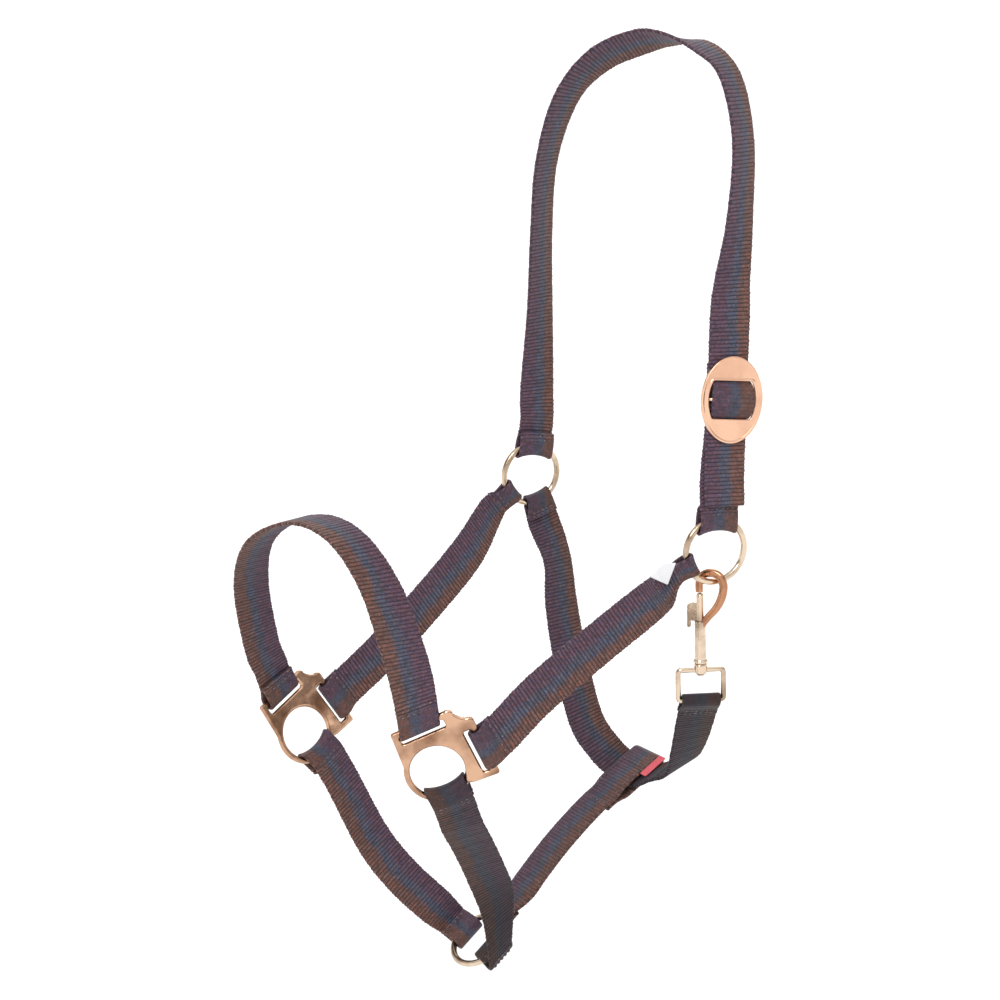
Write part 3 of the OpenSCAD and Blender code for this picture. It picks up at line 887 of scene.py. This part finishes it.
WEBBING = webbing_material("webbing")
THREAD = thread_material()
PALE_GOLD = metal_material("pale_rose_gold", (0.68, 0.54, 0.41), (0.32, 0.23, 0.155), 0.12, 0.26)
ROSE_GOLD = metal_material("rose_gold", (0.62, 0.38, 0.25), (0.21, 0.105, 0.06), 0.14, 0.34)
PEACH_GOLD = metal_material("peach_rose_gold", (0.78, 0.48, 0.33), (0.66, 0.38, 0.25), 0.22, 0.36)
COPPER = metal_material("copper_limb", (0.50, 0.25, 0.14), (0.26, 0.12, 0.07), 0.2, 0.36)
STEEL = metal_material("spring_steel", (0.72, 0.72, 0.74), (0.55, 0.55, 0.58), 0.2, 0.35)
LABEL = cloth_material("label_tape", (0.74, 0.74, 0.75), (0.62, 0.62, 0.64), 2600)
TAB = cloth_material("tab_tape", (0.72, 0.10, 0.13), (0.50, 0.05, 0.07), 1800)


# ---- the webbing and sewing of each strap ----
SHORT_FOLD = 20  # a shorter one only has lines of stitches across it
SEAM_NEAR = 11
SEAM_FAR = 1.8
SEAM_PAIR = 5


def seam_of(end, fold):
    """Where the stitches of a fold start and stop, as distances from that end of the strap."""
    near = fold.length - SEAM_PAIR if fold.length < SHORT_FOLD else SEAM_NEAR
    return end, near, fold.length - SEAM_FAR


def build_straps():
    for s in STRAPS:
        c = Centre(s.rows(), s.side, s.fold_a, s.fold_b)
        path = strap_path(c)
        path[:, RIB] *= s.rib
        obj = webbing_mesh(s.name + "_webbing", path, WEBBING, s.rust_low, s.shades)
        piece(obj, ROOT, "webbing", s.name)
        ends = [seam_of(end, fold) for end, fold in enumerate((s.fold_a, s.fold_b)) if fold.wire]
        piece(sewing(s.name + "_stitches", c, ends, THREAD), ROOT, "webbing")


build_straps()

# ---- webbing over the slide's bar ----
WINDOW_A = 14.2  # half axes of the ellipse that the window's sides follow
WINDOW_B = 21
ARCH_ROOM = 0.5  # between the webbing and the window's sides
ARCH_RIB = 0.25


def slide_path():
    """Over the slide's bar, from the bottom of the window to its top."""
    half = [(11.1, -1.6), (10.2, -0.9), (8.6, 0.7), (6.6, 2.2), (4.2, 3.5), (2, 4.2)]
    points = [(-v, w) for v, w in half] + [(0, 4.4)] + [(v, w) for v, w in reversed(half)]
    rows = []
    for v, w in points:
        width = 2 * (WINDOW_A * math.sqrt(1 - (v / WINDOW_B) ** 2) - ARCH_ROOM)
        rows.append(row(at(slide_frame, 0, v, w), slide_frame.right, width))
    path = smooth(np.array(rows))
    return np.hstack([path, np.full((len(path), 1), ARCH_RIB), np.zeros((len(path), 4))])


slide_out = crown_out + WEB_T / 2 + CLEAR + SLIDE_T / 2
slide_frame = frame_of(near_leg(0.33) + near_leg_out * slide_out + 2 * near_leg_dir,
                       math.degrees(NEAR_LEG_YAW), math.degrees(math.asin(near_leg_out[2])), -4)
piece(webbing_mesh("slide_webbing_arch", slide_path(), WEBBING, False), "slide", "webbing", "slide_webbing")


# ---- shapes of the metal ----
def arc(cx, cy, r, start, stop, step):
    n = max(2, round(abs(stop - start) / step))
    angles = np.radians(np.linspace(start, stop, n + 1))
    return [(cx + r * math.cos(a), cy + r * math.sin(a)) for a in angles]


def rounded(points, radius, steps=5):
    """A polygon with every corner rounded off over a length of radius along its sides."""
    out = []
    for i, corner in enumerate(points):
        p = vec(*corner)
        before, after = vec(*points[i - 1]), vec(*points[(i + 1) % len(points)])
        a = p + unit(before - p) * min(radius, 0.45 * np.linalg.norm(before - p))
        b = p + unit(after - p) * min(radius, 0.45 * np.linalg.norm(after - p))
        for t in np.linspace(0, 1, steps):
            out.append(tuple((1 - t) ** 2 * a + 2 * t * (1 - t) * p + t * t * b))
    return out


def even(points, spacing=0.8):
    """The same closed loop with points at even distances."""
    p = np.array(list(points) + [points[0]])
    run = run_of(p)
    n = max(8, round(run[-1] / spacing))
    s = np.linspace(0, run[-1], n + 1)[:-1]
    return np.column_stack([np.interp(s, run, p[:, 0]), np.interp(s, run, p[:, 1])])


SHARPEST = 0.75  # keeps sharp corners from moving too far


def inset(loop, amount):
    """Moves a loop to its left by amount: inwards if it runs counterclockwise."""
    forward = unit_rows(loop - np.roll(loop, 1, axis=0))
    ahead = unit_rows(np.roll(loop, -1, axis=0) - loop)
    left_a = np.column_stack([-forward[:, 1], forward[:, 0]])
    left_b = np.column_stack([-ahead[:, 1], ahead[:, 0]])
    middle = unit_rows(left_a + left_b)
    stretch = np.maximum(np.sum(middle * left_a, axis=1, keepdims=True), SHARPEST)
    return loop + amount * middle / stretch


def edge_profile(thickness, bevel, steps=5):
    """(inset, height) from the bottom face round the rounded edge to the top face."""
    angles = np.radians(np.linspace(0, 90, steps))
    top = [(bevel * (1 - math.cos(a)), thickness / 2 - bevel + bevel * math.sin(a)) for a in angles]
    top.append((bevel + 0.25, thickness / 2))
    return [(i, -z) for i, z in reversed(top)] + top


def plate(f, outline, holes, profile):
    """Vertices and faces of a flat plate in frame f. outline runs counterclockwise and holes clockwise."""
    verts, faces, caps = [], [], ([], [])
    for loop in [outline] + holes:
        rings = []
        for amount, height in profile:
            moved = inset(loop, amount)
            start = len(verts)
            verts += [at(f, x, y, height) for x, y in moved]
            rings.append((start, moved))
        for (a, _), (b, _) in zip(rings, rings[1:]):
            faces += wall(a, b, len(loop))
        caps[0].append(rings[0])
        caps[1].append(rings[-1])
    for up, cap in enumerate(caps):
        flat = np.vstack([ring for _, ring in cap])
        index = np.concatenate([start + np.arange(len(ring)) for start, ring in cap])
        loops = [[Vector((x, y, 0)) for x, y in ring] for _, ring in cap]
        for a, b, c in tessellate_polygon(loops):
            (ax, ay), (bx, by), (cx, cy) = flat[a], flat[b], flat[c]
            turn = (bx - ax) * (cy - ay) - (by - ay) * (cx - ax)
            tri = (index[a], index[b], index[c])
            faces.append(tuple(int(k) for k in (tri if (turn > 0) == bool(up) else tri[::-1])))
    return verts, faces


def tube(points, side, half_w, half_t, closed=False, around=20, power=2):
    """A bar along points. side is its width direction; power 2 is round and more is squarer."""
    p = np.asarray(points, float)
    n = len(p)
    if closed:
        tangents = np.roll(p, -1, axis=0) - np.roll(p, 1, axis=0)
    else:
        tangents = np.gradient(p, axis=0)
    tangents = unit_rows(tangents)
    side = np.broadcast_to(side, p.shape)
    across = unit_rows(np.cross(tangents, side))
    half_w, half_t = np.broadcast_to(half_w, n), np.broadcast_to(half_t, n)
    angles = np.linspace(0, 2 * math.pi, around, endpoint=False)
    cx = np.sign(np.cos(angles)) * np.abs(np.cos(angles)) ** (2 / power)
    cy = np.sign(np.sin(angles)) * np.abs(np.sin(angles)) ** (2 / power)
    verts = (p[:, None] + across[:, None] * (half_w[:, None] * cx)[..., None]
             + side[:, None] * (half_t[:, None] * cy)[..., None]).reshape(-1, 3)
    faces = []
    for i in range(n if closed else n - 1):
        faces += wall(((i + 1) % n) * around, i * around, around)
    if not closed:
        faces.append(tuple(range(around)))
        faces.append(tuple((n - 1) * around + k for k in range(around))[::-1])
    return list(verts), faces


def crisp(profile, beside=0.25):
    """Adds a point beside each end of a long side, so that it shades straight."""
    out = [vec(*profile[0])]
    for a, b in zip(profile, profile[1:]):
        a, b = vec(*a), vec(*b)
        step = np.linalg.norm(b - a)
        if step > 5 * beside:
            out += [a + (b - a) * beside / step, b - (b - a) * beside / step]
        out.append(b)
    return out


def lathe(f, profile, around=40):
    """Turned shape about the up direction of f. profile is (height, radius) from the bottom to the top."""
    verts, faces = [], []
    profile = crisp(profile)
    angles = np.linspace(0, 2 * math.pi, around, endpoint=False)
    for v, r in profile:
        verts += [at(f, r * math.sin(a), v, r * math.cos(a)) for a in angles]
    last = (len(profile) - 1) * around
    for a in range(0, last, around):
        faces += wall(a, a + around, around)
    faces.append(tuple(range(around))[::-1])
    faces.append(tuple(last + k for k in range(around)))
    return verts, faces


def joined(*parts):
    verts, faces = [], []
    for v, f in parts:
        start = len(verts)
        verts += list(v)
        faces += [tuple(start + k for k in face) for face in f]
    return verts, faces


def metal(name, shape, material, body, *nodes):
    obj = new_object(name, shape[0], shape[1], material)
    return piece(obj, body, "hardware", *nodes)


# ---- rings ----
WELD_RISE = 0.05  # the weld is a little thicker than the wire
WELD_ANGLE = 0.07


def add_ring(name, f, radius, seam, body, node):
    angles = np.radians(np.arange(0, 360, 3))
    points = np.array([at(f, radius * math.cos(a), radius * math.sin(a)) for a in angles])
    gap = np.angle(np.exp(1j * (angles - math.radians(seam))))
    wire = WIRE_R * (1 + WELD_RISE * np.exp(-(gap / WELD_ANGLE) ** 2))
    shape = tube(points, f.out, wire, wire, closed=True, around=24)
    metal(name, shape, PALE_GOLD, body, node)


chin_ring_at = Frame(chin_ring_c, vec(0, 1, 0), chin_up, np.cross(vec(0, 1, 0), chin_up))
add_ring("near_cheek_ring_wire", near_ring_at, RING_R, ADJUSTER_ANGLE, "near_cheek_ring", "near_ring")
add_ring("far_cheek_ring_wire", far_ring_at, RING_R, CROWN_ANGLE, "far_cheek_ring", "far_ring")
add_ring("chin_ring_wire", chin_ring_at, CHIN_RING_R, 90, "lead_ring", "chin_ring")

# ---- square fittings ----
PLATE_BEVEL = 1.55
SLOT_W = 4.8
SLOT_ROUND = 1.4
SLOT_AT = BAR_AT - BAR_W / 2 - SLOT_W / 2
EDGE_AT = 32.1  # from the middle of the eye to the bars' outer edges
TIP_R = 1.5  # at the bars' free ends
TIP_AT = EDGE_AT - TIP_R
LOBE_R = 3.4  # the two lobes at the corner between the bars
LOBE_LOW = 20.1
LOBE_HIGH = 29.1


def square_outline():
    points = arc(TIP_AT, -14.75, TIP_R, -90, 0, 18)
    points += [(EDGE_AT, 12)]
    points += arc(LOBE_HIGH, LOBE_LOW, LOBE_R, -20, 100, 8)
    points += [(26.9, 24.6), (26.0, 25.3), (25.3, 26.0), (24.6, 26.9)]
    points += arc(LOBE_LOW, LOBE_HIGH, LOBE_R, -10, 110, 8)
    points += [(12, EDGE_AT)]
    points += arc(-13.25, TIP_AT, TIP_R, 90, 180, 18)
    points += [(-14.75, 29.3), (-15.5, 22), (-16.4, 13)]
    points += arc(0, 0, EYE_R + RIM_W, 150, 312, 4)
    points += [(17, -15.6)]
    return points


def slot_hole(cx, cy, w, h):
    left, right, low, high = cx - w / 2, cx + w / 2, cy - h / 2, cy + h / 2
    return even(rounded([(left, low), (left, high), (right, high), (right, low)], SLOT_ROUND), 0.5)


def square_shape(f):
    eye = np.array(arc(0, 0, EYE_R, 360, 0, 4)[:-1])
    holes = [eye, slot_hole(3, SLOT_AT, SLOT_LEN, SLOT_W), slot_hole(SLOT_AT, 2, SLOT_W, SLOT_LEN)]
    return plate(f, even(square_outline(), 0.7), holes, edge_profile(PLATE_T, PLATE_BEVEL))


metal("near_square_plate", square_shape(near_square_at), ROSE_GOLD, ROOT, "near_square")
metal("far_square_plate", square_shape(far_square_at), ROSE_GOLD, ROOT, "far_square")

# ---- crown slide ----
BAR_OUT = 0.8  # how far the bar's middle stands out of the plate's
RIM_RISE = 0.35  # the outer rim is higher than the face inside it
FACE_DOWN = SLIDE_T / 2 - RIM_RISE


def window_loop():
    rise = math.degrees(math.asin(WINDOW_H / 2 / WINDOW_B))
    right = [(WINDOW_A * math.cos(math.radians(a)), WINDOW_B * math.sin(math.radians(a)))
             for a in np.linspace(rise, -rise, 12)]
    left = [(-x, y) for x, y in reversed(right)]
    return even(rounded(right + left, 0.8, 3), 0.6)


def slide_shape(f):
    outline = [(SLIDE_W / 2 * math.cos(a), SLIDE_H / 2 * math.sin(a))
               for a in np.linspace(0, 2 * math.pi, 120, endpoint=False)]
    half = SLIDE_T / 2
    back = [(0.8, -half), (0.5, -half), (0.12, -half + 0.15), (0, -half + 0.5)]
    front = [(0, half - 0.5), (0.12, half - 0.15), (0.5, half), (1.0, half), (1.35, half - 0.12),
             (1.6, FACE_DOWN), (1.9, FACE_DOWN)]
    body = plate(f, even(outline, 0.8), [window_loop()], back + front)
    places = np.linspace(-WINDOW_A - 0.5, WINDOW_A + 0.5, 24)
    thin = np.interp(np.abs(places), [0, 11, 13.4], [0, 0, 1])
    bar = [at(f, u, 0, BAR_OUT * (1 - k)) for u, k in zip(places, thin)]
    radius = SLIDE_BAR_R * (1 - 0.5 * thin)
    return joined(body, tube(bar, f.out, radius, radius))


metal("crown_slide_plate", slide_shape(slide_frame), PEACH_GOLD, "slide", "crown_slide")

# ---- snap hook ----
BORE_R = 2.55
WALL_R = 3.42
SLIT = 22  # half angle of the slit that the thumb piece slides in
SLIT_MIDDLE = 22.4
SLIT_LEN = 9.2
LIMB_HALF_T = 1.95
LIMB_LINE = [(1.2, 22), (2.6, 26), (5.4, 30), (10.4, 36), (13.7, 42), (15.4, 48), (15.3, 53), (12.8, 57.0),
             (7.6, 58.6), (2.6, 56.8), (-0.2, 52.5), (-0.4, 45.2)]


def limb_shape(f):
    rows = np.array([row((u, v, 0), (0, 0, 0)) for u, v in LIMB_LINE])
    points = np.array([at(f, u, v) for u, v in smooth(rows, 0.7)[:, :2]])
    t = np.linspace(0, 1, len(points))
    width = np.interp(t, [0, 0.1, 0.4, 0.7, 0.9, 1], [1.4, 2.2, 2.6, 2.55, 2.35, 2.2])
    ends = np.sqrt(np.clip(np.minimum(t, 1 - t) * 90, 0.05, 1))
    return tube(points, f.out, width * ends, LIMB_HALF_T * ends, power=2.6, around=24)


def barrel_shape(f):
    low = lathe(f, [(0, 3.0), (0, 3.9), (0.3, 4.35), (0.9, 4.5), (1.6, 4.4), (2.1, 4.0), (2.5, 3.6),
                    (10, 3.5), (17.9, WALL_R), (18, 3.3), (18, BORE_R), (4.2, BORE_R), (4.2, 0.5)])
    up = Frame(at(f, 0, SLIT_MIDDLE), f.out, f.right, f.up)
    outside = arc(0, 0, WALL_R, -90 + SLIT, 270 - SLIT, 6)
    inside = arc(0, 0, BORE_R, 270 - SLIT, -90 + SLIT, 4)
    high = plate(up, even(outside + inside, 0.35), [], edge_profile(SLIT_LEN, 0.3, 3))
    return joined(low, high)


metal("snap_hook_limb", limb_shape(hook_at), COPPER, "hook", "snap_hook")
metal("snap_hook_barrel", barrel_shape(hook_at), PALE_GOLD, "hook", "snap_hook")


def bolt_shape(f):
    rod = lathe(f, [(14, 1.6), (14.3, 2.0), (15, BOLT_R), (43.3, BOLT_R), (44.1, 2.0), (44.6, 1.5),
                    (44.8, 0.8)])
    thumb = [(0, 26.5), (0, 38), (-4, 38.5), (-8.7, 36.5), (-8.7, 22), (-6.4, 22), (-6.4, 26.5)]
    return joined(rod, plate(f, even(rounded(thumb, 1.2), 0.5), [], edge_profile(2, 0.5, 4)))


metal("snap_bolt_gate", bolt_shape(hook_at), PALE_GOLD, "bolt", "snap_bolt")


def eye_shape(f):
    corners = [(-EYE_HALF_W, -24.5), (EYE_HALF_W, -24.5), (EYE_HALF_W, -4.6), (-EYE_HALF_W, -4.6)]
    loop = even(rounded(corners, 2.4, 7), 0.8)
    points = np.array([at(f, u, v) for u, v in loop])
    boss = lathe(f, [(-6.8, 2.2), (-6.8, 3.3), (-6.3, 3.8), (-5.4, 4.0), (-1.8, 4.0), (-0.9, 3.8),
                     (-0.4, 3.3), (-0.4, 2.0)])
    return joined(tube(points, f.out, EYE_WIRE_R, EYE_WIRE_R, closed=True), boss)


metal("swivel_eye_loop", eye_shape(snap_at), PALE_GOLD, ROOT, "swivel_eye")
pin = lathe(hook_at, [(-8.5, 0.4), (-8.45, 1.2), (-8.2, 2.1), (-7.7, 2.65), (-7.1, 2.8), (-7.1, PIN_R),
                      (3.9, PIN_R), (3.9, 0.3)], 28)
metal("swivel_pin_rivet", pin, PALE_GOLD, "hook", "swivel_pin")

# The spring sits in the bore under the bolt, which presses it together.
SPRING_R = 1.5
SPRING_WIRE_R = 0.25
SPRING_TURNS = 5
SPRING_LOW = 4.6
SPRING_HIGH = 13.5
turns = np.radians(np.arange(0, 360 * SPRING_TURNS + 1, 15))
heights = np.linspace(SPRING_LOW, SPRING_HIGH, len(turns))
coil = [at(hook_at, SPRING_R * math.cos(a), v, SPRING_R * math.sin(a)) for a, v in zip(turns, heights)]
spring_shape = tube(coil, hook_at.up, SPRING_WIRE_R, SPRING_WIRE_R, around=8)
spring = new_object("bolt_spring_coil", *spring_shape, STEEL)
piece(spring, "hook", "spring", "bolt_spring")
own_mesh(spring)

# ---- label and tab ----
LABEL_OUT = 3.6  # the label folds over the strap's edge onto its face
TAB_LEAN = math.radians(27)
strap_at = frame_of((-50, -76, -319), -28, 3.5, 0)
label_at = strap_at._replace(centre=at(strap_at, 0, 0, LABEL_OUT))
label_outline = even(rounded([(2, 4), (7, 17.5), (-1, 17), (-9.5, 9.5)], 0.8), 0.5)
label = plate(label_at, label_outline, [], edge_profile(0.5, 0.2, 3))
piece(new_object("care_label_tape", *label, LABEL), ROOT, "label", "care_label")
tab_right = vec(math.cos(TAB_LEAN), 0, math.sin(TAB_LEAN))
tab_up = vec(0, 1, 0)
tab_at = Frame(vec(-3, -WEB_W / 2 - 3.05, -464.5), tab_right, tab_up, np.cross(tab_right, tab_up))
tab_outline = even(rounded([(-9.5, -3), (9.5, -3), (9.5, 3), (-9.5, 3)], 0.7), 0.5)
hem = [(0.5, -0.3), (0.15, -0.3), (0, -0.15), (0, 0.15), (0.15, 0.3), (0.7, 0.3), (0.9, 0.18), (1.1, 0.18)]
tab = plate(tab_at, tab_outline, [], hem)
piece(new_object("throat_tab_tape", *tab, TAB), ROOT, "tab", "throat_tab")

# ---- floor and light ----
FLOOR_Z = -620
FLOOR_HALF = 60000
SUN_ANGLE = 25  # wide, so that shadows are soft
SUNS = [("key", (50, 0, -60), 1.5), ("back", (55, 0, 140), 0.6)]  # name, turn in degrees, strength
SKY = greys((0.26, 1.0), (0.32, 0.3), (0.5, 0.35), (0.7, 1.0))  # darker near the horizon, for the metal
SKY_STRENGTH = 1.3


def add_floor():
    g = Graph("floor")
    g.feed(Base_Color=g.ramp(g.noise(g.place(), 0.8, 2), greys((0.3, 0.88), (0.7, 0.92))))
    g.set(Roughness=0.9)
    corners = [(-FLOOR_HALF, -FLOOR_HALF, FLOOR_Z), (FLOOR_HALF, -FLOOR_HALF, FLOOR_Z),
               (FLOOR_HALF, FLOOR_HALF, FLOOR_Z), (-FLOOR_HALF, FLOOR_HALF, FLOOR_Z)]
    new_object("floor", corners, [(0, 1, 2, 3)], g.material, False)


def add_sun(name, turn, strength):
    data = bpy.data.lights.new(name, "SUN")
    data.energy = strength
    data.angle = math.radians(SUN_ANGLE)
    light = bpy.data.objects.new(name, data)
    light.rotation_euler = [math.radians(a) for a in turn]
    bpy.context.scene.collection.objects.link(light)


def add_world():
    world = bpy.data.worlds.new("studio")
    bpy.context.scene.world = world
    world.use_nodes = True
    nodes, links = world.node_tree.nodes, world.node_tree.links
    place = nodes.new("ShaderNodeTexCoord")
    split = nodes.new("ShaderNodeSeparateXYZ")
    ramp = nodes.new("ShaderNodeValToRGB")
    links.new(place.outputs["Generated"], split.inputs[0])
    links.new(split.outputs["Z"], ramp.inputs["Fac"])
    set_stops(ramp.color_ramp, SKY)
    links.new(ramp.outputs["Color"], nodes["Background"].inputs["Color"])
    nodes["Background"].inputs["Strength"].default_value = SKY_STRENGTH


add_floor()
add_world()
for sun_name, sun_turn, sun_strength in SUNS:
    add_sun(sun_name, sun_turn, sun_strength)
bpy.context.scene.view_settings.view_transform = "Standard"
